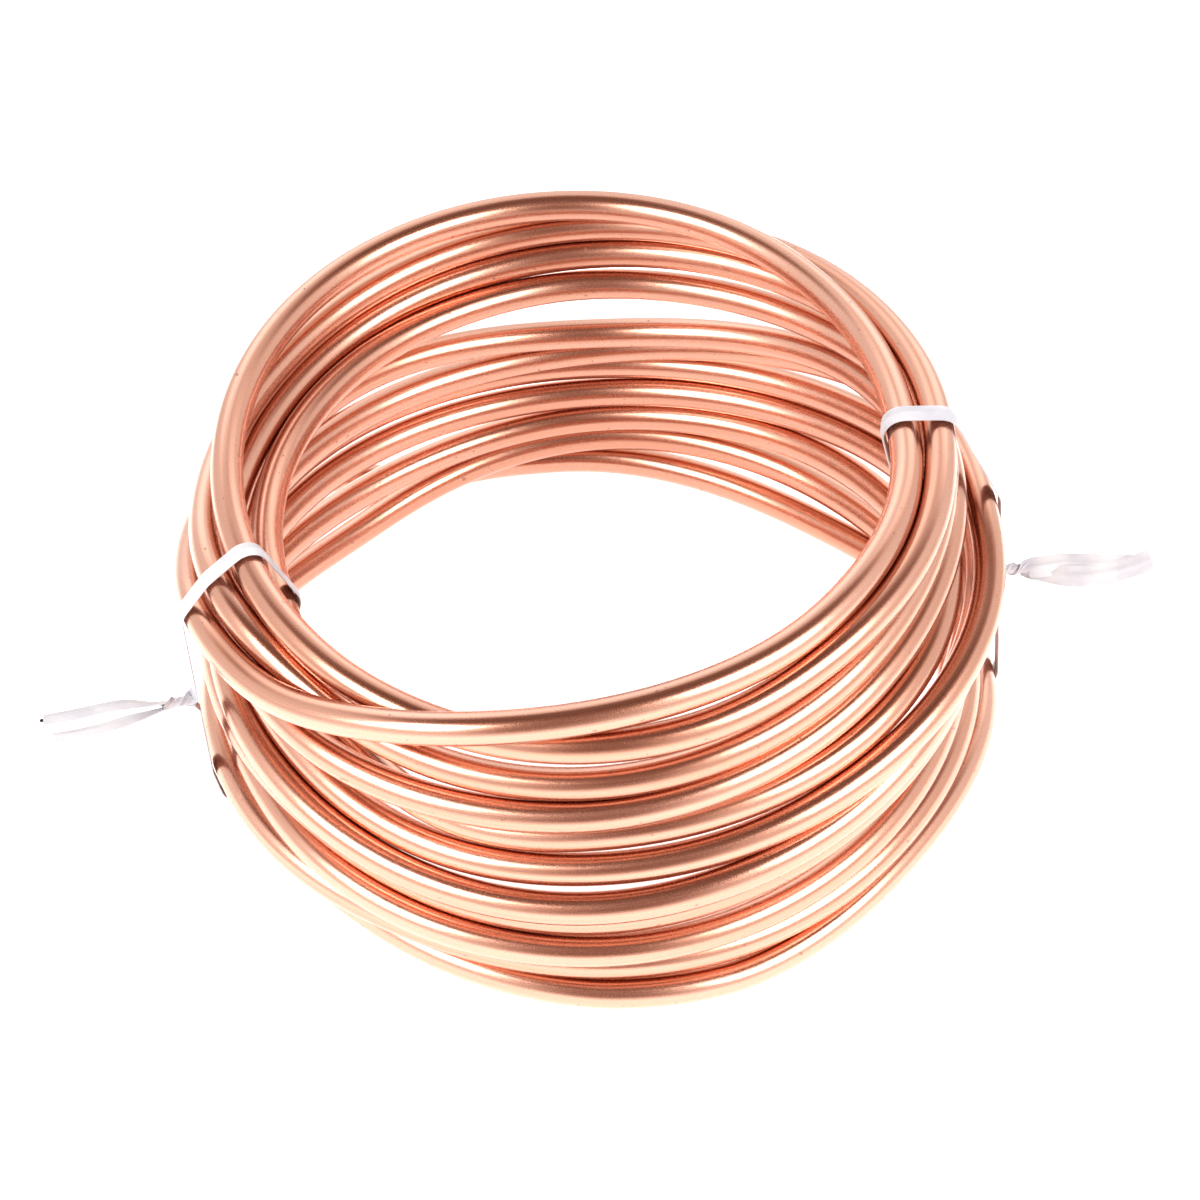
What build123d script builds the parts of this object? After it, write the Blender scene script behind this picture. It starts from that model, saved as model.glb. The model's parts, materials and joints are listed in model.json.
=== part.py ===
from build123d import *

import math
import os

# Coil of soft copper tube, standing on its end and tied in two places with white twist ties.
# Millimetres, +Z up. The coil's axis is the Z axis, the origin is on the floor under its
# middle, and -Y is the front. Angles are in degrees, from +X towards +Y.

# Copper tube
TUBE_OD = 6.0
TUBE_WALL = 1.0

# Winding: one column of turns, each row a little further in or out than the next
MEAN_RADIUS = 71.0              # coil axis to the middle of the tube
ROW_GAP = 0.6                   # height left between one turn and the next
ROW_REACH_SHARES = (0.40, 0.10, 0.50, 0.20, 0.60, 0.45, 0.15, 0.35, 0.00, -0.55, -0.40)
TURN_FLAT_SHARE = 0.45          # height of a turn's outer face, of the tube's diameter
GROOVE_SHARE = 0.20             # thickness of the winding between two turns, likewise

# Free ends of the tube: each leaves its turn, bends away and runs straight
END_LEAD = 22.0                 # from its turn to the corner of the bend
END_RUN = 24.0                  # from the corner of the bend to the tip
END_LEAN_ANGLE = 12.0           # between a free end and its turn, where it leaves
END_BEND_ANGLE = 12.0
UPPER_END_ROW = 5
UPPER_END_ANGLE = 146.0
LOWER_END_ROW = 0
LOWER_END_ANGLE = 110.0

# Twist ties
TIE_WIDTH = 4.0
TIE_THICKNESS = 0.5
TIE_CLEARANCE = 0.1
TIE_WIRE_OD = 1.2               # wire in the middle of the ribbon, with its cover
TIE_TWIST_WIDTH = 2.2           # the two ribbons where they are twisted together
TIE_TWIST_THICKNESS = 1.4
TIE_TWIST_PITCH = 2.0           # length of a quarter turn of the twist
TIE_TWIST_QUARTERS = 5
TIE_TAIL_LENGTH = 20.0
TIE_TAIL_SPREAD_ANGLE = 8.0     # between each tail and the line of the twist
LEFT_TIE_ANGLE = 203.0
LEFT_KNOT_SHARE = 0.43          # height of the knot, of the height of the top turn
RIGHT_TIE_ANGLE = 3.0
RIGHT_KNOT_SHARE = 0.55

tube_radius = TUBE_OD / 2
row_pitch = TUBE_OD + ROW_GAP
floor_to_turn = TIE_THICKNESS + TIE_CLEARANCE       # a tie passes under the lowest turn


def turn_places():
    """Distance from the axis and height of the middle of the tube, for each row of turns."""
    return [
        (MEAN_RADIUS + share * TUBE_OD, floor_to_turn + tube_radius + row * row_pitch)
        for row, share in enumerate(ROW_REACH_SHARES)
    ]


def winding_outline():
    """Section of the winding: a ridge for each turn, outside and inside, with grooves between."""
    places = turn_places()
    flat_half = TURN_FLAT_SHARE * TUBE_OD / 2
    groove_half = GROOVE_SHARE * TUBE_OD / 2
    outside, inside = [], []
    for row, (reach, height) in enumerate(places):
        neighbours = places[max(row - 1, 0):row] + places[row + 1:row + 2]
        stands_back = all(reach < other for other, _ in neighbours)
        for rise in (0,) if stands_back else (-flat_half, flat_half):
            outside.append((reach + math.sqrt(tube_radius**2 - rise**2), height + rise))
        inside.append((reach - tube_radius, height))
        for next_reach, next_height in places[row + 1:row + 2]:
            middle = ((reach + next_reach) / 2, (height + next_height) / 2)
            outside.append((middle[0] + groove_half, middle[1]))
            inside.append((middle[0] - groove_half, middle[1]))
    (low_reach, low_height), (top_reach, top_height) = places[0], places[-1]
    bottom = (low_reach, low_height - tube_radius)
    top = (top_reach, top_height + tube_radius)
    return [bottom, *outside, top, *reversed(inside)]


def free_end(row, angle, way):
    """Path of a free end of the tube, from the middle of its turn to its tip."""
    reach, height = turn_places()[row]
    lean = math.radians(END_LEAN_ANGLE)
    bend = math.radians(END_BEND_ANGLE)
    points = [(reach, 0), (reach + END_LEAD * math.sin(lean), way * END_LEAD * math.cos(lean))]
    points.append((
        points[1][0] + END_RUN * math.sin(lean + bend),
        points[1][1] + way * END_RUN * math.cos(lean + bend),
    ))
    return Pos(0, 0, height) * Rot(0, 0, angle) * Polyline(*points)


def tube_along(path, radius):
    """Round bar along a path, with a mitre at its corner."""
    section = Plane(origin=path @ 0, z_dir=path % 0) * Circle(radius)
    return sweep(section, path, transition=Transition.RIGHT)


def tube_coil():
    """The winding, turned as one solid, with the tube's two open ends running off it."""
    section = make_face(Polyline(*winding_outline(), close=True))
    coil = revolve(Plane.XZ * section, axis=Axis.Z)
    paths = (
        free_end(UPPER_END_ROW, UPPER_END_ANGLE, -1),
        free_end(LOWER_END_ROW, LOWER_END_ANGLE, 1),
    )
    for path in paths:
        coil += tube_along(path, tube_radius)
    for path in paths:
        coil -= tube_along(path, tube_radius - TUBE_WALL)
    return coil


def tie_outline(gap):
    """Outline of a ribbon pulled tight around the stack of turns, at a gap from the tube."""
    circles = [Pos(*place) * Circle(tube_radius + gap) for place in turn_places()]
    return make_hull([edge for circle in circles for edge in circle.edges()])


def tie_twist(foot):
    """The two ribbons twisted together along +X, as a narrow section that turns by quarters."""
    section = Rectangle(TIE_TWIST_WIDTH, TIE_TWIST_THICKNESS)
    start = foot + tube_radius + floor_to_turn
    sections = [Plane(origin=(foot, 0, 0), z_dir=(1, 0, 0)) * section]
    for quarter in range(TIE_TWIST_QUARTERS + 1):
        plane = Plane(origin=(start + quarter * TIE_TWIST_PITCH, 0, 0), z_dir=(1, 0, 0))
        sections.append(plane * Rot(0, 0, 90 * quarter) * section)
    return loft([section.face() for section in sections], ruled=True)


def tie_tail():
    """One loose end of a tie, lying along +X: a flat ribbon with the wire inside it."""
    ribbon = Box(
        TIE_TAIL_LENGTH, TIE_WIDTH, TIE_THICKNESS, align=(Align.MIN, Align.CENTER, Align.CENTER)
    )
    wire = Plane.YZ * Cylinder(
        TIE_WIRE_OD / 2, TIE_TAIL_LENGTH, align=(Align.CENTER, Align.CENTER, Align.MIN)
    )
    return ribbon + wire


def twist_tie(angle, knot_share):
    """A ribbon round the stack of turns, its ends twisted together and left standing out."""
    widest = max(reach for reach, height in turn_places())
    knot_height = knot_share * turn_places()[-1][1]
    twist_end = widest + tube_radius + floor_to_turn + TIE_TWIST_QUARTERS * TIE_TWIST_PITCH
    tie = extrude(Plane.XZ * tie_outline(floor_to_turn), amount=TIE_WIDTH / 2, both=True)
    tie += Pos(0, 0, knot_height) * tie_twist(widest)
    for side in (-1, 1):
        tie += Pos(twist_end, 0, knot_height) * Rot(0, side * TIE_TAIL_SPREAD_ANGLE, 0) * tie_tail()
    tie -= extrude(Plane.XZ * tie_outline(TIE_CLEARANCE), amount=TIE_WIDTH, both=True)
    return Rot(0, 0, angle) * tie


def main():
    os.makedirs("parts", exist_ok=True)
    export_step(tube_coil(), "parts/tube_coil.step")
    export_step(twist_tie(LEFT_TIE_ANGLE, LEFT_KNOT_SHARE), "parts/tie_left.step")
    export_step(twist_tie(RIGHT_TIE_ANGLE, RIGHT_KNOT_SHARE), "parts/tie_right.step")


main()
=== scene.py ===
"""Looks of a coil of soft copper tube that stands on its end, tied in two places with twist ties."""

import json
import logging
import math
from dataclasses import dataclass, field
from enum import Enum
from typing import Any

import bpy
import numpy as np
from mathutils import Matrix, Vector


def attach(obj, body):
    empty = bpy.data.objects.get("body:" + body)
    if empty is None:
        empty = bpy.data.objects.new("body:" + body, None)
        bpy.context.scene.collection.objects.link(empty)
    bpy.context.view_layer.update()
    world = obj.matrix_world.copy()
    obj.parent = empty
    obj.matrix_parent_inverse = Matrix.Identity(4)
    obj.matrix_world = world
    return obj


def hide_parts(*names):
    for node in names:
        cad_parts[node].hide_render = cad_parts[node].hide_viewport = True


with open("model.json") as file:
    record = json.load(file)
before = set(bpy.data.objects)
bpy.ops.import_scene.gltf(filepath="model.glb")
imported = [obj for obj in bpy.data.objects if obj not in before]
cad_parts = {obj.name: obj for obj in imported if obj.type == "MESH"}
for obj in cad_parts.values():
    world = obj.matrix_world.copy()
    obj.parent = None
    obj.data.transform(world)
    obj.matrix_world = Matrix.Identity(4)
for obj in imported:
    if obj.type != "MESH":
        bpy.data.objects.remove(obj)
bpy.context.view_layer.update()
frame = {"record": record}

LOG = logging.getLogger("copper_coil")
MM = 0.001
FULL_TURN = 360.0
HALF_TURN = 180.0
SAME_SPOT = 1e-6
MEAN_NOISE = 0.5
ROOT_BODY = "root"

Colour = tuple[float, float, float, float]
Range = tuple[float, float]
Place = tuple[float, float]
Spot = tuple[float, float, float]


class Quarter(Enum):
    """Sides of the coil, as the angle from its left in the direction that the tube is wound."""

    LEFT = 0.0
    FRONT = 90.0
    RIGHT = 180.0
    BACK = 270.0


class Strand(Enum):
    """The two ends of a tie where they are twisted together: the sign is the side each lies on."""

    UPPER = 1.0
    LOWER = -1.0


class Reading:
    """A number in a shader. Sums on readings add maths nodes to the sheet they are on."""

    def __init__(self, sheet: "ShaderSheet", socket: bpy.types.NodeSocket) -> None:
        """Keep the sheet and the socket that the number comes from."""
        self.sheet = sheet
        self.socket = socket

    def _sum(self, operation: str, *terms: "Reading | float") -> "Reading":
        """Add a maths node for one operation."""
        node = self.sheet.node(
            "ShaderNodeMath", {"operation": operation}, dict(enumerate(terms))
        )
        return self.sheet.read(node)

    def __add__(self, other: "Reading | float") -> "Reading":
        """Sum."""
        return self._sum("ADD", self, other)

    def __radd__(self, other: float) -> "Reading":
        """Sum, with the number first."""
        return self._sum("ADD", other, self)

    def __sub__(self, other: "Reading | float") -> "Reading":
        """Difference."""
        return self._sum("SUBTRACT", self, other)

    def __rsub__(self, other: float) -> "Reading":
        """Difference, with the number first."""
        return self._sum("SUBTRACT", other, self)

    def __mul__(self, other: "Reading | float") -> "Reading":
        """Product."""
        return self._sum("MULTIPLY", self, other)

    def __rmul__(self, other: float) -> "Reading":
        """Product, with the number first."""
        return self._sum("MULTIPLY", other, self)

    def __abs__(self) -> "Reading":
        """Size without its sign."""
        return self._sum("ABSOLUTE", self)

    def angle_over(self, other: "Reading") -> "Reading":
        """Angle in radians whose tangent is this over the other."""
        return self._sum("ARCTAN2", self, other)

    def step(self, low: float, high: float) -> "Reading":
        """Smooth step from 0 at the low value to 1 at the high one."""
        node = self.sheet.node(
            "ShaderNodeMapRange",
            {"interpolation_type": "SMOOTHSTEP"},
            {"Value": self, "From Min": low, "From Max": high},
        )
        return self.sheet.read(node)


class ShaderSheet:
    """The node tree of a material or of the world, with short ways to add to it."""

    def __init__(self, tree: bpy.types.NodeTree) -> None:
        """Start from an empty tree."""
        self.tree = tree
        tree.nodes.clear()

    @classmethod
    def of_material(cls, name: str) -> tuple["ShaderSheet", bpy.types.Material]:
        """Make a material and an empty sheet for it.

        Args:
            name: name of the material.

        Returns:
            The sheet and the material.
        """
        material = bpy.data.materials.new(name)
        material.use_nodes = True
        return cls(material.node_tree), material

    def node(
        self,
        kind: str,
        settings: dict[str, Any] | None = None,
        inputs: dict[str | int, Any] | None = None,
    ) -> bpy.types.Node:
        """Add a node.

        Args:
            kind: type of the node.
            settings: its properties.
            inputs: values, sockets or readings for its inputs, by name or number.

        Returns:
            The node.
        """
        made = self.tree.nodes.new(kind)
        for name, value in (settings or {}).items():
            setattr(made, name, value)
        for name, value in (inputs or {}).items():
            socket = made.inputs[name]
            if isinstance(value, Reading):
                self.tree.links.new(value.socket, socket)
            elif isinstance(value, bpy.types.NodeSocket):
                self.tree.links.new(value, socket)
            else:
                socket.default_value = value
        return made

    def read(self, node: bpy.types.Node, output: str | int = 0) -> Reading:
        """Take a node's output as a number."""
        return Reading(self, node.outputs[output])

    def split(self, socket: bpy.types.NodeSocket) -> tuple[Reading, Reading, Reading]:
        """Take a vector's three numbers."""
        node = self.node("ShaderNodeSeparateXYZ", inputs={0: socket})
        return self.read(node, 0), self.read(node, 1), self.read(node, 2)

    def join(self, x: Any, y: Any, z: Any) -> bpy.types.NodeSocket:
        """Make a vector of three numbers."""
        return self.node("ShaderNodeCombineXYZ", inputs={0: x, 1: y, 2: z}).outputs[0]

    def noise(
        self, place: bpy.types.NodeSocket, scale: float, detail: float = 2.0, rough: float = 0.5
    ) -> Reading:
        """Smooth noise from 0 to 1 at a place."""
        node = self.node(
            "ShaderNodeTexNoise",
            inputs={"Vector": place, "Scale": scale, "Detail": detail, "Roughness": rough},
        )
        return self.read(node, 0)

    def mix(self, share: Reading, first: Any, second: Any) -> bpy.types.NodeSocket:
        """Mix two colours: the second's share goes from 0 to 1."""
        node = self.node(
            "ShaderNodeMix", {"data_type": "RGBA"}, {0: share, 6: first, 7: second}
        )
        return node.outputs[2]

    def bump(self, height: Reading, depth: float) -> bpy.types.NodeSocket:
        """Raise the surface by a height from 0 to 1 times a depth in metres."""
        inputs = {"Height": height, "Strength": 1.0, "Distance": depth}
        return self.node("ShaderNodeBump", inputs=inputs).outputs[0]

    def surface(self, inputs: dict[str | int, Any]) -> None:
        """Close the sheet with a surface of these inputs."""
        shader = self.node("ShaderNodeBsdfPrincipled", inputs=inputs)
        self.node("ShaderNodeOutputMaterial", inputs={"Surface": shader.outputs[0]})


@dataclass(frozen=True)
class Streak:
    """Noise drawn out along the tube, by its scale along the tube and round it."""

    along: float
    around: float
    detail: float
    rough: float = 0.5
    shift: float = 0.0

    def read(self, sheet: ShaderSheet, lay: tuple[Reading, Reading, Reading]) -> Reading:
        """Noise from 0 to 1 at a point of the tube's own coordinate.

        Args:
            sheet: sheet to add the noise to.
            lay: the three numbers of the tube's own coordinate.

        Returns:
            The noise.
        """
        along, cosine, sine = lay
        across = sine * self.around
        if self.shift:
            across = across + self.shift
        place = sheet.join(along * self.along, cosine * self.around, across)
        return sheet.noise(place, 1.0, self.detail, self.rough)


@dataclass(frozen=True)
class CopperFinish:
    """Bright drawn copper: lines along the tube, patches of fine cross marks, a slow change of tone.

    The tube's own coordinate gives, for each point, how far along the tube it is and the sine and
    cosine of its place round the tube.
    """

    bright: Colour = (0.74, 0.42, 0.31, 1.0)
    rosy: Colour = (0.66, 0.33, 0.22, 1.0)
    dull: Colour = (0.45, 0.17, 0.10, 1.0)
    speck: Colour = (0.35, 0.17, 0.11, 1.0)
    roughness: float = 0.25
    oil_film: float = 0.9
    oil_index: float = 1.9
    relief_depth: float = 0.000012
    lay_attribute: str = "tube_lay"
    line_streak: Streak = Streak(16.0, 18.0, 3.0)
    hair_streak: Streak = Streak(45.0, 60.0, 1.0)
    tone_streak: Streak = Streak(9.0, 0.8, 3.0, 0.6)
    patch_streak: Streak = Streak(14.0, 1.1, 2.0, shift=4.0)
    speck_streak: Streak = Streak(620.0, 2.4, 2.0)
    mark_streak: Streak = Streak(2400.0, 2.2, 1.0)
    grain_streak: Streak = Streak(4600.0, 13.0, 1.0)
    tone_range: Range = (0.32, 0.68)
    line_range: Range = (0.56, 0.80)
    patch_range: Range = (0.53, 0.66)
    speck_range: Range = (0.70, 0.76)
    line_stain: float = 0.45
    mark_stain: float = 0.08
    speck_stain: float = 0.7
    line_rough: float = 0.16
    tone_rough: float = 0.10
    grain_rough: float = 0.12
    speck_rough: float = 0.2
    line_relief: float = 0.6
    hair_relief: float = 0.4
    mark_relief: float = 0.3
    grain_relief: float = 0.25

    def material(self) -> bpy.types.Material:
        """Make the material.

        Returns:
            The material, which reads the tube's own coordinate.
        """
        sheet, material = ShaderSheet.of_material("drawn_copper")
        note = sheet.node("ShaderNodeAttribute", {"attribute_name": self.lay_attribute})
        lay = sheet.split(note.outputs[1])
        lines = self.line_streak.read(sheet, lay)
        hairs = self.hair_streak.read(sheet, lay)
        tone = self.tone_streak.read(sheet, lay)
        patch = self.patch_streak.read(sheet, lay)
        specks = self.speck_streak.read(sheet, lay)
        marks = self.mark_streak.read(sheet, lay)
        grain = self.grain_streak.read(sheet, lay)
        chatter = marks * patch.step(*self.patch_range)
        spotted = specks.step(*self.speck_range)
        base = sheet.mix(tone.step(*self.tone_range), self.rosy, self.bright)
        base = sheet.mix(lines.step(*self.line_range) * self.line_stain, base, self.dull)
        base = sheet.mix(chatter * self.mark_stain, base, self.dull)
        base = sheet.mix(spotted * self.speck_stain, base, self.speck)
        rough = self.roughness + (lines - MEAN_NOISE) * self.line_rough
        rough = rough + (tone - MEAN_NOISE) * self.tone_rough
        rough = rough + (grain - MEAN_NOISE) * self.grain_rough
        relief = lines * self.line_relief + hairs * self.hair_relief
        relief = relief + chatter * self.mark_relief + grain * self.grain_relief
        sheet.surface({
            "Base Color": base,
            "Metallic": 1.0,
            "Roughness": rough + spotted * self.speck_rough,
            "Normal": sheet.bump(relief, self.relief_depth),
            "Coat Weight": self.oil_film,
            "Coat Roughness": self.roughness,
            "Coat IOR": self.oil_index,
        })
        return material


@dataclass(frozen=True)
class TieFinish:
    """White plastic-coated ribbon, a little uneven."""

    clean: Colour = (0.72, 0.72, 0.74, 1.0)
    shaded: Colour = (0.58, 0.58, 0.62, 1.0)
    roughness: float = 0.38
    cloud_scale: float = 140.0
    cloud_detail: float = 3.0
    cloud_range: Range = (0.3, 0.7)
    cloud_rough: float = 0.2
    grain_scale: float = 2600.0
    grain_depth: float = 0.00003

    def material(self) -> bpy.types.Material:
        """Make the material.

        Returns:
            The material.
        """
        sheet, material = ShaderSheet.of_material("tie_plastic")
        place = sheet.node("ShaderNodeTexCoord").outputs["Object"]
        cloud = sheet.noise(place, self.cloud_scale, self.cloud_detail)
        grain = sheet.noise(place, self.grain_scale)
        sheet.surface({
            "Base Color": sheet.mix(cloud.step(*self.cloud_range), self.clean, self.shaded),
            "Roughness": self.roughness + (cloud - MEAN_NOISE) * self.cloud_rough,
            "Normal": sheet.bump(grain, self.grain_depth),
        })
        return material


@dataclass(frozen=True)
class WireFinish:
    """Dark cut ends of the steel wire in the ties."""

    clean: Colour = (0.10, 0.10, 0.105, 1.0)
    worn: Colour = (0.03, 0.03, 0.03, 1.0)
    metallic: float = 0.8
    roughness: float = 0.4
    grain_scale: float = 3000.0
    grain_range: Range = (0.35, 0.65)
    grain_rough: float = 0.3

    def material(self) -> bpy.types.Material:
        """Make the material.

        Returns:
            The material.
        """
        sheet, material = ShaderSheet.of_material("tie_wire")
        place = sheet.node("ShaderNodeTexCoord").outputs["Object"]
        grain = sheet.noise(place, self.grain_scale)
        sheet.surface({
            "Base Color": sheet.mix(grain.step(*self.grain_range), self.clean, self.worn),
            "Metallic": self.metallic,
            "Roughness": self.roughness + (grain - MEAN_NOISE) * self.grain_rough,
        })
        return material


@dataclass(frozen=True)
class FloorFinish:
    """Plain white studio floor with painted light: a glow round the coil that fills in its shadow.
    """

    white: Colour = (0.90, 0.90, 0.90, 1.0)
    off_white: Colour = (0.88, 0.88, 0.88, 1.0)
    unlit: Colour = (0.0, 0.0, 0.0, 1.0)
    # Strength of the painted light: the floor's glow round the coil.
    glow: float = 0.56
    glow_reach: float = 0.24
    glow_end: float = 0.42
    roughness: float = 0.9
    gloss: float = 0.1
    cloud_scale: float = 6.0
    cloud_range: Range = (0.3, 0.7)

    def material(self) -> bpy.types.Material:
        """Make the material.

        Returns:
            The material.
        """
        sheet, material = ShaderSheet.of_material("studio_floor")
        place = sheet.node("ShaderNodeTexCoord").outputs["Object"]
        cloud = sheet.noise(place, self.cloud_scale)
        x, y, _ = sheet.split(place)
        # Painted light: the floor glows in a disc round the coil and fades out beyond it, filling in
        # the coil's shadow and lighting the copper from below.
        far = (x * x + y * y).step(self.glow_reach**2, self.glow_end**2)
        sheet.surface({
            "Base Color": sheet.mix(cloud.step(*self.cloud_range), self.white, self.off_white),
            "Roughness": self.roughness,
            "Specular IOR Level": self.gloss,
            "Emission Color": sheet.mix(far, self.white, self.unlit),
            "Emission Strength": self.glow,
        })
        return material


def smooth_course(knots: np.ndarray, places: np.ndarray, at: np.ndarray) -> np.ndarray:
    """Read a cubic spline that goes through places.

    Args:
        knots: rising values that the places stand at.
        places: one row of coordinates for each knot.
        at: values to read the spline at.

    Returns:
        One row of coordinates for each value.
    """
    gaps = np.diff(knots)
    count = len(knots)
    system = np.eye(count)
    target = np.zeros_like(places)
    for here in range(1, count - 1):
        before, after = gaps[here - 1], gaps[here]
        system[here, here - 1:here + 2] = before, 2.0 * (before + after), after
        target[here] = 6.0 * (
            (places[here + 1] - places[here]) / after - (places[here] - places[here - 1]) / before
        )
    system[0, 1] = system[-1, -2] = -1.0
    bends = np.linalg.solve(system, target)
    piece = np.clip(np.searchsorted(knots, at) - 1, 0, count - 2)
    gap = gaps[piece][:, None]
    past = (at - knots[piece])[:, None]
    left = (knots[piece + 1] - at)[:, None]
    first, second = bends[piece], bends[piece + 1]
    return (
        (first * left**3 + second * past**3) / (6.0 * gap)
        + (places[piece] / gap - first * gap / 6.0) * left
        + (places[piece + 1] / gap - second * gap / 6.0) * past
    )


def even_spacing(points: np.ndarray, spacing: float) -> np.ndarray:
    """Go along a line of points in even steps.

    Args:
        points: one row of coordinates for each point.
        spacing: length of a step, or nearly.

    Returns:
        One row of coordinates for each step.
    """
    lengths = np.linalg.norm(np.diff(points, axis=0), axis=1)
    marks = np.concatenate([[0.0], np.cumsum(lengths)])
    steps = np.linspace(0.0, marks[-1], max(2, round(marks[-1] / spacing) + 1))
    return np.stack([np.interp(steps, marks, points[:, axis]) for axis in range(points.shape[1])], 1)


def unit(vector: np.ndarray) -> np.ndarray:
    """Same direction, length one."""
    return vector / np.linalg.norm(vector)


def edit(obj: bpy.types.Object) -> None:
    """Select one object alone and go into edit mode with nothing selected in it.

    Args:
        obj: the object.
    """
    bpy.ops.object.select_all(action="DESELECT")
    obj.select_set(True)
    bpy.context.view_layer.objects.active = obj
    bpy.ops.object.mode_set(mode="EDIT")
    bpy.ops.mesh.select_all(action="DESELECT")


def report(obj: bpy.types.Object) -> None:
    """Log a finished piece."""
    triangles = sum(len(face.vertices) - 2 for face in obj.data.polygons)
    LOG.info("%s: %d triangles", obj.name, triangles)


@dataclass
class Turn:
    """One turn of the tube: reach from the axis and height of its middle, at four sides, in mm.

    Strays are further places, by angle from the left, where the turn leaves an even course.
    """

    left: Place
    front: Place
    right: Place
    back: Place
    strays: dict[float, Place] = field(default_factory=dict)

    def places(self) -> dict[float, Place]:
        """All the turn's places, by angle from the left.

        Returns:
            Reach and height in mm for each angle in degrees.
        """
        return {
            Quarter.LEFT.value: self.left,
            Quarter.FRONT.value: self.front,
            Quarter.RIGHT.value: self.right,
            Quarter.BACK.value: self.back,
            **self.strays,
        }


@dataclass
class FreeEnd:
    """A free end of the tube, which runs straight from its tip and then joins a turn, in mm."""

    tip: np.ndarray
    axis: np.ndarray
    run: float
    bend_points: int = 11

    @classmethod
    def of_mount(cls, name: str) -> "FreeEnd":
        """Take a free end from the frame's mount of that name.

        Args:
            name: name of the mount, a pin.

        Returns:
            The free end.
        """
        mount = next(mount for mount in frame["record"]["mounts"] if mount["name"] == name)
        axis = unit(np.array(mount["axis"], float))
        run = mount["dims"]["length_mm"]
        return cls(np.array(mount["pos_m"]) / MM + axis * run / 2.0, axis, run)

    def lead(self, joint: np.ndarray, heading: np.ndarray) -> np.ndarray:
        """Course from the tip to a joint on a turn.

        Args:
            joint: where the end joins its turn.
            heading: direction of the turn there, away from the free end.

        Returns:
            Points from the tip up to the joint, without it.
        """
        bend = self.tip - self.axis * self.run
        handle = np.linalg.norm(joint - bend) / 3.0
        corners = (bend, bend - self.axis * handle, joint - heading * handle, joint)
        share = np.linspace(0.0, 1.0, self.bend_points + 1)[:-1, None]
        weights = ((1 - share)**3, 3 * share * (1 - share)**2, 3 * share**2 * (1 - share), share**3)
        curve = sum(weight * corner for weight, corner in zip(weights, corners))
        return np.vstack([self.tip, curve])


@dataclass
class TubeLay:
    """Course of the tube: a smooth line through the turns, with touching strands pushed apart."""

    turns: list[Turn]
    upper_end: FreeEnd
    lower_end: FreeEnd
    radius: float = 3.0
    start_angle: float = -34.0
    start_reach: float = 73.7
    end_angle: float = 3890.0
    end_reach: float = 73.4
    step: float = 2.0
    contact: float = 6.02
    floor_gap: float = 0.05
    rounds: int = 400
    give: float = 0.35
    stride: float = 1.3
    pull: float = 0.02
    spread_steps: int = 12
    spread_width: float = 5.0
    angles: np.ndarray = field(init=False)
    places: np.ndarray = field(init=False)

    def __post_init__(self) -> None:
        """Lay the tube."""
        course = {self.start_angle: (self.start_reach, self.upper_end.tip[2])}
        for number, turn in enumerate(self.turns):
            for angle, place in turn.places().items():
                course[FULL_TURN * number + angle] = place
        course[self.end_angle] = (self.end_reach, self.lower_end.tip[2])
        knots = np.array(sorted(course))
        self.angles = np.arange(self.start_angle, self.end_angle + self.step / 2, self.step)
        goal = smooth_course(knots, np.array([course[knot] for knot in knots]), self.angles)
        self.places = self._settle(goal)

    def _settle(self, goal: np.ndarray) -> np.ndarray:
        """Push strands that touch apart, a little at a time, and keep them above the floor.

        Args:
            goal: reach and height at each step along the tube.

        Returns:
            Reach and height at the same steps.
        """
        per_turn = round(FULL_TURN / self.step)
        count = len(goal)
        rows = count // per_turn + 1
        reach = self.spread_steps
        spread = np.exp(-0.5 * (np.arange(-reach, reach + 1) / self.spread_width)**2)
        spread /= spread.sum()
        places = goal.copy()
        for _ in range(self.rounds):
            grid = np.full((rows * per_turn, 2), np.inf)
            grid[:count] = places
            grid = grid.reshape(rows, per_turn, 2)
            push = np.zeros_like(grid)
            for low in range(rows):
                for high in range(low + 1, rows):
                    there = np.isfinite(grid[high, :, 0])
                    way = grid[high, there] - grid[low, there]
                    apart = np.maximum(np.linalg.norm(way, axis=1), SAME_SPOT)
                    short = np.maximum(self.contact - apart, 0.0)
                    nudge = self.give * short[:, None] * way / apart[:, None]
                    push[low, there] -= nudge
                    push[high, there] += nudge
            push = push.reshape(-1, 2)[:count]
            for axis in range(2):
                padded = np.pad(push[:, axis], reach, mode="edge")
                push[:, axis] = np.convolve(padded, spread, mode="valid")
            places = places + self.stride * push + self.pull * (goal - places)
            places[:, 1] = np.maximum(places[:, 1], self.radius + self.floor_gap)
        return places

    def points(self, spacing: float) -> np.ndarray:
        """Middle line of the whole tube, from the upper tip to the lower one, in even steps.

        Args:
            spacing: length of a step in mm.

        Returns:
            One row of coordinates in mm for each step.
        """
        turned = np.radians(HALF_TURN + self.angles)
        reach, height = self.places.T
        line = np.stack([reach * np.cos(turned), reach * np.sin(turned), height], 1)
        first = self.upper_end.lead(line[0], unit(line[1] - line[0]))
        last = self.lower_end.lead(line[-1], unit(line[-2] - line[-1]))
        return even_spacing(np.vstack([first, line, last[::-1]]), spacing)

    def section(self, angle: float) -> np.ndarray:
        """Reach and height of every strand that crosses an angle from +X, in mm.

        Args:
            angle: the angle in degrees.

        Returns:
            One row for each strand.
        """
        from_left = (angle - HALF_TURN) % FULL_TURN
        crossings = np.arange(from_left - FULL_TURN, self.angles[-1], FULL_TURN)
        crossings = crossings[crossings >= self.angles[0]]
        return np.stack(
            [np.interp(crossings, self.angles, self.places[:, axis]) for axis in range(2)], 1
        )


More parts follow.
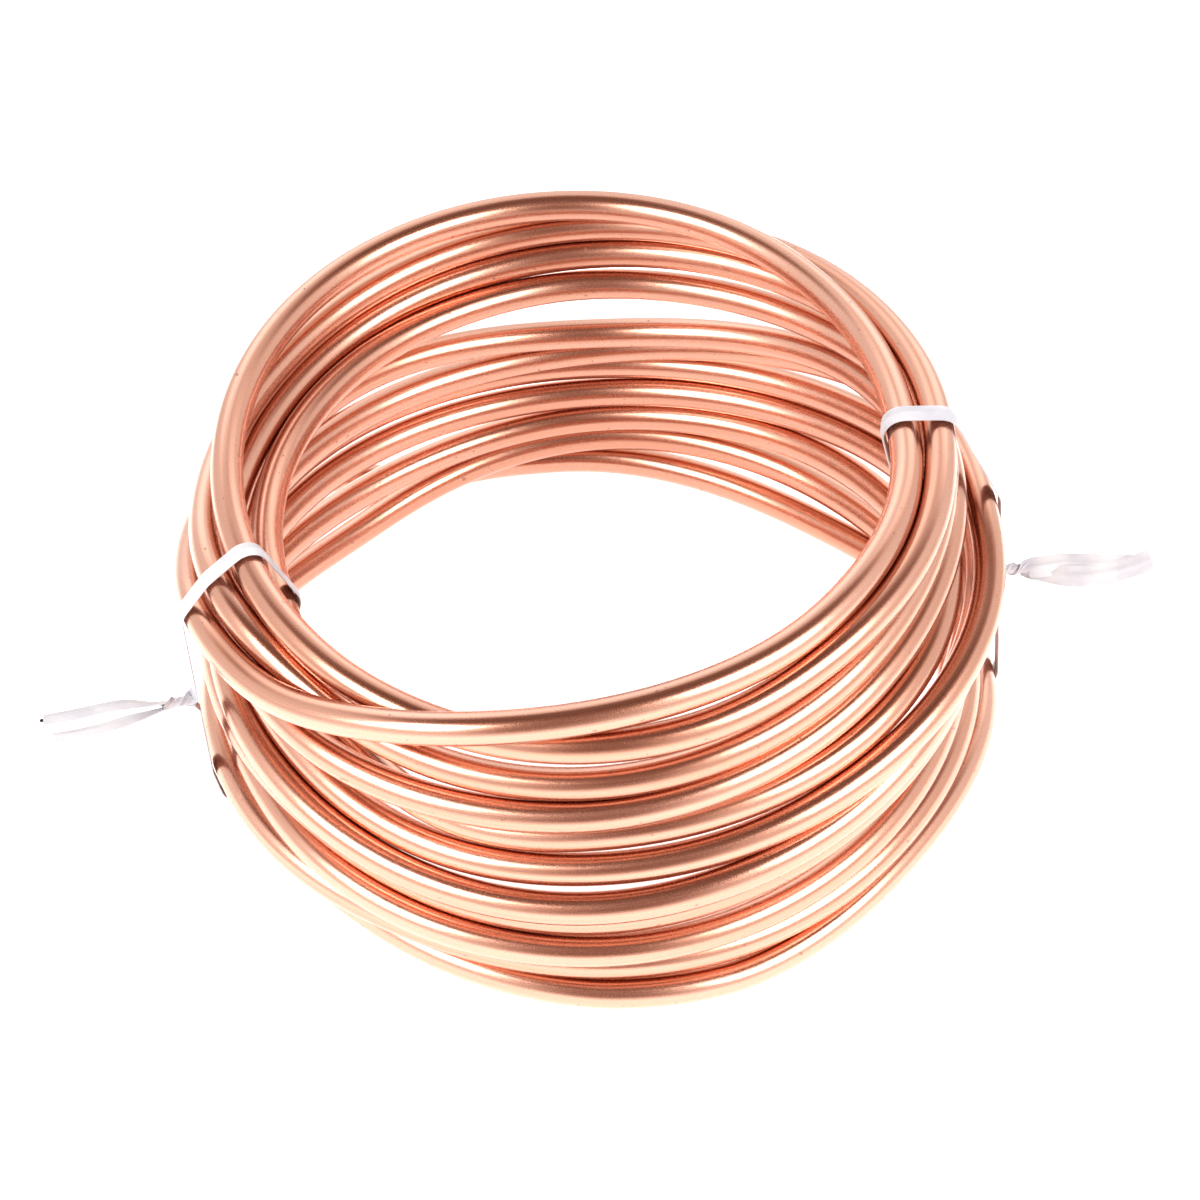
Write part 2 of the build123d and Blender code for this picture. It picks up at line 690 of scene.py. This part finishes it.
@dataclass
class TubeCoil:
    """The tube itself, as one closed solid with an open bore at each end."""

    lay: TubeLay
    finish: CopperFinish
    spacing: float = 2.4
    wall: float = 1.0
    bore_depth: float = 20.0
    cap_squareness: float = 0.95
    bevel_steps: int = 10
    smooth_angle: float = 40.0

    def build(self) -> bpy.types.Object:
        """Model the tube.

        Returns:
            The finished piece, which stands for the CAD coil.
        """
        points = self.lay.points(self.spacing)
        obj = self._sweep(points)
        self._note_lay(obj, points)
        for end in (self.lay.upper_end, self.lay.lower_end):
            self._bore(obj, Vector(end.tip * MM), Vector(end.axis))
        bpy.ops.object.shade_smooth_by_angle(angle=math.radians(self.smooth_angle))
        self.dress(obj)
        report(obj)
        return obj

    def _sweep(self, points: np.ndarray) -> bpy.types.Object:
        """Sweep a round section along the middle line.

        Args:
            points: the middle line in mm.

        Returns:
            The tube with closed ends.
        """
        bpy.ops.object.select_all(action="DESELECT")
        bpy.ops.object.add(type="CURVE", location=(0.0, 0.0, 0.0))
        obj = bpy.context.active_object
        obj.name = "copper_tube"
        curve = obj.data
        curve.dimensions = "3D"
        curve.twist_mode = "Z_UP"
        curve.bevel_depth = self.lay.radius * MM
        curve.bevel_resolution = self.bevel_steps
        curve.use_fill_caps = True
        spline = curve.splines.new("POLY")
        spline.points.add(len(points) - 1)
        padded = np.concatenate([points * MM, np.ones((len(points), 1))], axis=1)
        spline.points.foreach_set("co", padded.ravel())
        bpy.ops.object.convert(target="MESH")
        obj = bpy.context.active_object
        obj.data.name = obj.name
        return obj

    def _note_lay(self, obj: bpy.types.Object, points: np.ndarray) -> None:
        """Store each vertex's place on the tube: metres along it, and round it.

        Args:
            obj: the swept tube.
            points: the middle line it was swept along.
        """
        mesh = obj.data
        around = len(mesh.vertices) // len(points)
        turned = np.linspace(0.0, 2.0 * math.pi, around, endpoint=False)
        rings = np.zeros((len(points), around, 3))
        rings[:, :, 0] = (np.arange(len(points)) * self.spacing * MM)[:, None]
        rings[:, :, 1] = np.cos(turned)
        rings[:, :, 2] = np.sin(turned)
        lay = np.zeros((len(mesh.vertices), 3))
        lay[:len(points) * around] = rings.reshape(-1, 3)
        store = mesh.attributes.new(self.finish.lay_attribute, "FLOAT_VECTOR", "POINT")
        store.data.foreach_set("vector", lay.ravel())
        edit(obj)
        bpy.ops.mesh.select_all(action="SELECT")
        bpy.ops.mesh.remove_doubles(threshold=SAME_SPOT)
        bpy.ops.object.mode_set(mode="OBJECT")

    def _bore(self, obj: bpy.types.Object, tip: Vector, axis: Vector) -> None:
        """Open the bore in the cap at one tip.

        Args:
            obj: the tube.
            tip: middle of the cap in metres.
            axis: direction out of the cap.
        """
        edit(obj)
        bpy.ops.mesh.select_mode(type="FACE")
        bpy.ops.object.mode_set(mode="OBJECT")
        for face in obj.data.polygons:
            near = (face.center - tip).length < self.lay.radius * MM
            face.select = near and abs(face.normal.dot(axis)) > self.cap_squareness
        bpy.ops.object.mode_set(mode="EDIT")
        bpy.ops.mesh.dissolve_faces()
        bpy.ops.mesh.inset(thickness=self.wall * MM)
        bpy.ops.mesh.extrude_region_move(
            TRANSFORM_OT_translate={"value": -axis * self.bore_depth * MM}
        )
        bpy.ops.object.mode_set(mode="OBJECT")

    def dress(self, obj: bpy.types.Object) -> None:
        """Give the tube its finish and its place in the frame.

        Args:
            obj: the tube.
        """
        obj.data.materials.append(self.finish.material())
        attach(obj, ROOT_BODY)
        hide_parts("tube_coil")


@dataclass
class Tail:
    """Loose end of a tie: places it goes through beyond the twist, as out, side and rise in mm."""

    way: tuple[Spot, ...]
    roll: float
    curl: float = 0.0
    bare_wire: bool = False


@dataclass
class TwistTie:
    """A ribbon with a wire in it, pulled round the stack of turns and twisted shut outside it."""

    name: str
    node: str
    lay: TubeLay
    angle: float
    knot_height: float
    twist_length: float
    twist_angle: float
    upper: Tail
    lower: Tail
    width: float = 4.0
    edge: float = 0.16
    bead: float = 0.42
    slack: float = 0.1
    pinch: float = 0.62
    pinch_speed: float = 1.05
    pinch_end: float = 0.95
    end_pinch: float = 0.3
    rim_thickness: float = 0.6
    flat_outer: float = 0.86
    flat_inner: float = 0.42
    shoulder_width: float = 0.22
    shoulder_height: float = 0.72
    spacing: float = 1.0
    knot_trim: int = 2
    coil_reach: float = 70.0
    rim_step: float = 5.0
    outline_step: float = 0.2
    steps_on: int = 5
    strand_gap: float = 0.12
    stand_off: float = 0.5
    twist_points: int = 22
    tail_lead: float = 1.5
    roll_speed: float = 3.0
    wire_aim: int = 3
    wire_radius: float = 0.3
    wire_length: float = 2.0
    wire_inset: float = 0.4
    wire_sides: int = 12
    smooth_angle: float = 50.0
    out: np.ndarray = field(init=False)
    side: np.ndarray = field(init=False)
    rise: np.ndarray = field(init=False)

    def __post_init__(self) -> None:
        """Set the tie's own directions: out from the coil, along its turns, and up."""
        turned = math.radians(self.angle)
        self.out = np.array([math.cos(turned), math.sin(turned), 0.0])
        self.side = np.array([-math.sin(turned), math.cos(turned), 0.0])
        self.rise = np.array([0.0, 0.0, 1.0])

    def build(self, plastic: bpy.types.Material, wire: bpy.types.Material) -> bpy.types.Object:
        """Model the tie.

        Args:
            plastic: finish of the ribbon.
            wire: finish of the cut wire ends.

        Returns:
            The finished piece, which stands for the CAD tie.
        """
        stations = self._stations()
        obj = self._ribbon(stations)
        for tail, way in ((self.upper, stations), (self.lower, stations[::-1])):
            if tail.bare_wire:
                self._wire_end(obj, way[0][0], way[self.wire_aim][0])
        obj.data.materials.append(plastic)
        obj.data.materials.append(wire)
        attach(obj, ROOT_BODY)
        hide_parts(self.node)
        report(obj)
        return obj

    def _loop(self) -> np.ndarray:
        """Pull the ribbon's middle line round the turns.

        Returns:
            Reach and height in mm, from the knot up, over and back to it.
        """
        room = self.lay.radius + self.bead + self.slack
        sweep = np.radians(np.arange(0.0, FULL_TURN, self.rim_step))
        rim = np.stack([np.cos(sweep), np.sin(sweep)], 1) * room
        half = math.degrees(self.width / 2.0 / self.coil_reach)
        places = np.vstack([self.lay.section(self.angle + turn) for turn in (-half, 0.0, half)])
        cloud = (places[:, None] + rim[None]).reshape(-1, 2)
        outline = self._hull(cloud)
        closed = np.vstack([outline, outline[:1]])
        fine = even_spacing(closed, self.outline_step)[:-1]
        outer = fine[:, 0] > fine[:, 0].mean()
        start = int(np.argmin(np.where(outer, np.abs(fine[:, 1] - self.knot_height), np.inf)))
        loop = np.roll(fine, -start, axis=0)
        if loop[self.steps_on, 1] < loop[0, 1]:
            loop = np.roll(loop[::-1], 1, axis=0)
        return np.vstack([loop, loop[:1]])

    @staticmethod
    def _hull(cloud: np.ndarray) -> np.ndarray:
        """Convex outline of flat points, going round anticlockwise.

        Args:
            cloud: the points, one in a row.

        Returns:
            The outline's corners.
        """
        ordered = sorted(map(tuple, cloud))

        def chain(points: list[Place]) -> list[Place]:
            """Half of the outline.

            Args:
                points: all the points in order of reach.

            Returns:
                Corners of this half, without its last.
            """
            kept: list[Place] = []
            for point in points:
                while len(kept) > 1:
                    (ax, ay), (bx, by) = kept[-2], kept[-1]
                    if (bx - ax) * (point[1] - ay) - (by - ay) * (point[0] - ax) > 0.0:
                        break
                    kept.pop()
                kept.append(point)
            return kept[:-1]

        return np.array(chain(ordered) + chain(ordered[::-1]))

    def _spot(self, out: float, side: float, rise: float) -> np.ndarray:
        """Point in the frame from its place beside the coil's axis."""
        return out * self.out + side * self.side + rise * self.rise

    def _stations(self) -> list[tuple[np.ndarray, np.ndarray, float]]:
        """Follow the ribbon from tip to tip.

        Returns:
            Middle points in mm, each with its face direction and its share of the full width.
        """
        loop = self._loop()
        knot = loop[0]
        round_loop = even_spacing(loop, self.spacing)
        ahead = np.gradient(round_loop, axis=0)
        clear = slice(self.knot_trim, -self.knot_trim)
        loop_part = []
        for place, (along_out, along_rise) in zip(round_loop[clear], ahead[clear]):
            face = unit(along_rise * self.out - along_out * self.rise)
            loop_part.append((self._spot(place[0], 0.0, place[1]), face, 1.0))
        first = self._strand(Strand.UPPER, self.upper, knot)
        last = self._strand(Strand.LOWER, self.lower, knot)
        return first[::-1] + loop_part + last

    def _strand(
        self, strand: Strand, tail: Tail, knot: np.ndarray
    ) -> list[tuple[np.ndarray, np.ndarray, float]]:
        """One end of the ribbon, from the coil through the twist to its tip.

        Args:
            strand: which of the two ends.
            tail: its way beyond the twist.
            knot: reach and height in mm where the ribbon leaves the coil.

        Returns:
            Middle points in mm, each with its face direction and its share of the full width.
        """
        part = []
        lift = self.bead + self.strand_gap
        foot = knot[0] + self.stand_off
        for share in np.linspace(0.0, 1.0, self.twist_points):
            turn = math.radians(self.twist_angle * share)
            face = strand.value * (math.cos(turn) * self.rise + math.sin(turn) * self.side)
            tight = self.end_pinch
            if share < self.pinch_end:
                tight = math.sqrt(math.sin(math.pi * min(1.0, share * self.pinch_speed)))
            middle = self._spot(foot + share * self.twist_length, 0.0, knot[1])
            part.append((middle + face * lift, face, 1.0 - (1.0 - self.pinch) * tight))
        end_turn = math.radians(self.twist_angle)
        start = part[-1][0]
        base = self._spot(foot + self.twist_length, 0.0, knot[1])
        spots = [start - self.out * self.tail_lead, start]
        spots += [base + self._spot(*place) for place in tail.way]
        marks = np.concatenate([[0.0], np.cumsum(np.linalg.norm(np.diff(spots, axis=0), axis=1))])
        course = smooth_course(marks, np.array(spots), np.arange(marks[1], marks[-1], self.spacing))
        for number, middle in enumerate(course[1:]):
            share = (number + 1) / (len(course) - 1)
            settle = min(1.0, share * self.roll_speed)
            turn = end_turn + math.radians(tail.roll * settle + tail.curl * share)
            face = strand.value * (math.cos(turn) * self.rise + math.sin(turn) * self.side)
            part.append((middle, face, 1.0))
        return part

    def _profile(self) -> np.ndarray:
        """Section of the ribbon: flat edges and the wire's bead in the middle, as side and face.

        Returns:
            The section's corners in mm, going round.
        """
        half = self.width / 2.0
        near = [
            (half, self.edge * self.rim_thickness),
            (half * self.flat_outer, self.edge),
            (half * self.flat_inner, self.edge),
            (half * self.shoulder_width, self.bead * self.shoulder_height),
        ]
        far = [(-side, face) for side, face in reversed(near)]
        upper = [*near, (0.0, self.bead), *far]
        lower = [(-side, -face) for side, face in upper]
        return np.array(upper + lower)

    def _ribbon(self, stations: list[tuple[np.ndarray, np.ndarray, float]]) -> bpy.types.Object:
        """Shape a grid into the ribbon, close its seam and cap its two ends.

        Args:
            stations: middle points from tip to tip, with face directions and width shares.

        Returns:
            The ribbon as one closed solid.
        """
        profile = self._profile()
        profile = np.vstack([profile, profile[:1]])
        bpy.ops.object.select_all(action="DESELECT")
        bpy.ops.mesh.primitive_grid_add(
            x_subdivisions=len(profile) - 1, y_subdivisions=len(stations) - 1, size=1.0
        )
        obj = bpy.context.active_object
        obj.name = obj.data.name = self.name
        middles = np.array([middle for middle, _, _ in stations])
        ahead = np.gradient(middles, axis=0)
        spots = []
        for (middle, face, share), way in zip(stations, ahead):
            way = unit(way)
            normal = unit(face - way * (face @ way))
            across = np.cross(way, normal)
            for side, height in profile:
                spots.append((middle + across * side * share + normal * height) * MM)
        obj.data.vertices.foreach_set("co", np.array(spots).ravel())
        obj.data.update()
        edit(obj)
        bpy.ops.mesh.select_all(action="SELECT")
        bpy.ops.mesh.remove_doubles(threshold=SAME_SPOT)
        bpy.ops.mesh.fill_holes(sides=0)
        bpy.ops.mesh.select_all(action="SELECT")
        bpy.ops.mesh.normals_make_consistent(inside=False)
        bpy.ops.object.mode_set(mode="OBJECT")
        bpy.ops.object.shade_smooth_by_angle(angle=math.radians(self.smooth_angle))
        return obj

    def _wire_end(self, obj: bpy.types.Object, tip: np.ndarray, inner: np.ndarray) -> None:
        """Add the cut end of the wire at one tip of the ribbon.

        Args:
            obj: the ribbon.
            tip: its tip in mm.
            inner: a point of its middle line further in.
        """
        way = Vector(unit(tip - inner))
        start = Vector(tip * MM)
        edit(obj)
        bpy.ops.mesh.primitive_cylinder_add(
            vertices=self.wire_sides, radius=self.wire_radius * MM, depth=self.wire_length * MM
        )
        turned = Vector((0.0, 0.0, 1.0)).rotation_difference(way).to_matrix()
        bpy.ops.object.mode_set(mode="OBJECT")
        for vertex in obj.data.vertices:
            if vertex.select:
                vertex.co = start + turned @ vertex.co - way * self.wire_inset * MM
        for face in obj.data.polygons:
            if face.select:
                face.material_index = 1


@dataclass(frozen=True)
class SoftBox:
    """A soft light: degrees from the front towards the right, power in watts, sizes in metres."""

    name: str
    azimuth: float
    power: float
    height: float = 1.1
    size: float = 0.9
    distance: float = 1.3


@dataclass
class Studio:
    """White floor, soft light from all round with a dark ceiling, and the camera.

    A tilt is an angle in radians from the front up and over to the back. A width is a share of the
    way out to the side.
    """

    elevation: float = 43.0
    distance: float = 0.72
    target: Spot = (0.0, 0.0, 0.036)
    lens: float = 115.2
    sensor: float = 36.0
    drop: float = -0.015
    floor_size: float = 6.0
    surround: float = 0.77
    ceiling: float = 0.21
    panel: float = 0.5
    white: Colour = (1.0, 1.0, 1.0, 1.0)
    warm: Colour = (1.0, 0.64, 0.52, 1.0)
    overhead_front_tilt: Range = (1.00, 1.20)
    overhead_back_tilt: Range = (1.90, 2.22)
    overhead_width: Range = (0.50, 0.72)
    camera_low_tilt: Range = (-0.04, 0.36)
    camera_high_tilt: Range = (1.10, 1.25)
    camera_width: Range = (0.12, 0.44)
    camera_dark: float = 0.9
    panel_front_tilt: Range = (2.15, 2.40)
    panel_back_tilt: Range = (2.80, 3.05)
    panel_inner_width: Range = (0.02, 0.25)
    panel_outer_width: Range = (0.40, 0.65)
    boxes: tuple[SoftBox, ...] = (
        SoftBox("soft_box_left", -52.0, 12.0), SoftBox("soft_box_right", 52.0, 11.0)
    )

    def build(self) -> None:
        """Set up the floor, the light and the camera."""
        self._floor()
        self._world()
        self._lights()
        self._camera()
        bpy.context.scene.view_settings.view_transform = "Standard"
        bpy.context.scene.view_settings.look = "High Contrast"

    def _floor(self) -> None:
        """Lay the floor."""
        bpy.ops.object.select_all(action="DESELECT")
        bpy.ops.mesh.primitive_plane_add(size=self.floor_size, location=(0.0, 0.0, 0.0))
        floor = bpy.context.active_object
        floor.name = "studio_floor"
        floor.data.materials.append(FloorFinish().material())

    def _world(self) -> None:
        """Light the scene from all round: darker and warm above and by the camera, with a bright
        panel on each side of the back.
        """
        world = bpy.data.worlds.new("studio")
        world.use_nodes = True
        bpy.context.scene.world = world
        sheet = ShaderSheet(world.node_tree)
        direction = sheet.node("ShaderNodeTexCoord").outputs["Generated"]
        x, y, z = sheet.split(direction)
        tilt = z.angle_over(y * -1.0)
        aside = abs(x)
        overhead = self._between(tilt, self.overhead_front_tilt, self.overhead_back_tilt)
        overhead = overhead * (1.0 - aside.step(*self.overhead_width))
        by_camera = self._between(tilt, self.camera_low_tilt, self.camera_high_tilt)
        by_camera = by_camera * (1.0 - aside.step(*self.camera_width)) * self.camera_dark
        dark = overhead + by_camera - overhead * by_camera
        panels = self._between(tilt, self.panel_front_tilt, self.panel_back_tilt)
        panels = panels * self._between(aside, self.panel_inner_width, self.panel_outer_width)
        power = self.surround + (self.ceiling - self.surround) * dark + panels * self.panel
        colour = sheet.mix(dark, self.white, self.warm)
        light = sheet.node("ShaderNodeBackground", inputs={"Color": colour, "Strength": power})
        sheet.node("ShaderNodeOutputWorld", inputs={"Surface": light.outputs[0]})

    @staticmethod
    def _between(value: Reading, rising: Range, falling: Range) -> Reading:
        """Smooth step up over one range of a value and down again over another."""
        return value.step(*rising) * (1.0 - value.step(*falling))

    def _lights(self) -> None:
        """Hang a soft box at the front left and one at the front right."""
        for box in self.boxes:
            turned = math.radians(box.azimuth)
            aside, ahead = math.sin(turned) * box.distance, math.cos(turned) * box.distance
            spot = Vector((aside, -ahead, box.height))
            bpy.ops.object.light_add(type="AREA", location=spot)
            light = bpy.context.active_object
            light.name = box.name
            light.data.size = box.size
            light.data.energy = box.power
            light.rotation_euler = (Vector(self.target) - spot).to_track_quat("-Z", "Y").to_euler()

    def _camera(self) -> None:
        """Place the camera at the photo's angle."""
        tilt = math.radians(self.elevation)
        back = Vector((0.0, -math.cos(tilt), math.sin(tilt)))
        bpy.ops.object.camera_add(
            location=Vector(self.target) + back * self.distance,
            rotation=(math.pi / 2.0 - tilt, 0.0, 0.0),
        )
        camera = bpy.context.active_object
        camera.data.lens = self.lens
        camera.data.sensor_width = self.sensor
        camera.data.shift_y = self.drop
        bpy.context.scene.camera = camera


def tube_turns() -> list[Turn]:
    """Set the places of the eleven turns, which stand higher at both ties.

    Returns:
        The turns from the top down.
    """
    return [
        Turn(
            (75.6, 46.7), (64.8, 65.3), (55.4, 71.2), (69.0, 71.5),
            {
                12.0: (76.4, 51.0), 23.0: (76.8, 54.0), 38.0: (75.3, 54.4), 55.0: (72.2, 58.5),
                70.0: (69.0, 62.2), 135.0: (59.6, 69.2), 147.0: (58.8, 69.9), 160.0: (57.6, 70.5),
                171.0: (56.3, 71.0),
            },
        ),
        Turn(
            (68.0, 65.5), (66.0, 59.2), (61.5, 70.8), (70.7, 65.5),
            {23.0: (67.4, 62.4), 110.0: (64.6, 60.9), 135.0: (62.4, 65.9), 225.0: (64.6, 69.5)},
        ),
        Turn(
            (72.0, 57.5), (66.7, 50.9), (62.4, 65.0), (69.7, 59.5),
            {23.0: (72.6, 59.0), 45.0: (69.5, 53.8), 70.0: (67.2, 50.0)},
        ),
        Turn(
            (69.0, 49.0), (68.9, 45.2), (64.2, 59.3), (67.6, 53.4),
            {45.0: (72.0, 45.0), 70.0: (70.4, 44.4), 225.0: (66.4, 56.2), 315.0: (65.2, 52.6)},
        ),
        Turn(
            (61.5, 51.2), (67.3, 38.9), (63.2, 53.6), (68.0, 40.5),
            {
                23.0: (62.2, 51.6), 45.0: (64.8, 43.0), 70.0: (67.2, 37.2), 135.0: (68.2, 46.6),
                155.0: (66.6, 50.6), 225.0: (66.2, 50.0), 315.0: (68.8, 43.4),
            },
        ),
        Turn(
            (68.0, 40.0), (70.0, 32.8), (70.5, 53.6), (70.2, 34.5),
            {
                70.0: (69.8, 31.4), 135.0: (72.6, 41.6), 158.0: (73.2, 48.0), 170.0: (72.2, 51.2),
                205.0: (70.6, 50.6),
            },
        ),
        Turn((70.5, 34.0), (74.0, 27.0), (70.8, 44.4), (73.0, 28.5), {225.0: (71.2, 35.4)}),
        Turn((72.5, 28.0), (71.0, 21.0), (69.3, 36.0), (71.0, 22.5), {225.0: (69.8, 29.6)}),
        Turn(
            (71.0, 22.0), (73.3, 15.0), (66.8, 24.5), (70.5, 16.5),
            {225.0: (68.0, 22.6), 315.0: (70.0, 13.0)},
        ),
        Turn(
            (72.5, 16.0), (71.0, 9.2), (69.3, 16.8), (71.5, 10.5),
            {
                110.0: (70.6, 9.4), 205.0: (69.0, 13.8), 225.0: (70.0, 11.8), 300.0: (70.5, 5.5),
                315.0: (69.5, 4.0),
            },
        ),
        Turn(
            (73.8, 10.0), (72.7, 3.1), (72.9, 10.3), (72.5, 3.6),
            {
                45.0: (71.0, 8.8), 110.0: (73.0, 3.1), 140.0: (71.0, 8.0), 205.0: (69.6, 8.2),
                225.0: (67.2, 5.4),
            },
        ),
    ]


def main() -> None:
    """Build and dress the coil and its ties, and set up the studio."""
    logging.basicConfig(level=logging.INFO, format="%(name)s: %(message)s")
    lay = TubeLay(
        tube_turns(), FreeEnd.of_mount("tube_end_upper"), FreeEnd.of_mount("tube_end_lower")
    )
    TubeCoil(lay, CopperFinish()).build()
    plastic, wire = TieFinish().material(), WireFinish().material()
    TwistTie(
        "twist_tie_left", "tie_left", lay, angle=201.0, knot_height=33.5,
        twist_length=5.5, twist_angle=320.0, width=3.4,
        upper=Tail(
            ((6.0, -1.6, 1.0), (14.0, -3.0, 0.6), (22.5, -4.6, -0.2)), roll=28.0, bare_wire=True
        ),
        lower=Tail(((6.0, 0.6, -0.6), (13.0, 1.0, -0.6), (21.0, 0.8, 0.0)), roll=28.0),
    ).build(plastic, wire)
    TwistTie(
        "twist_tie_right", "tie_right", lay, angle=3.0, knot_height=35.6,
        twist_length=5.0, twist_angle=315.0, slack=0.35,
        upper=Tail(((6.0, 0.5, 0.3), (14.0, 0.4, -0.1), (20.0, 0.4, -0.3)), roll=0.0),
        lower=Tail(((6.0, -1.0, -1.0), (14.0, -1.0, -1.2), (24.0, 0.4, 1.2)), roll=-12.0, curl=20.0),
    ).build(plastic, wire)
    Studio().build()


if __name__ == "__main__":
    main()
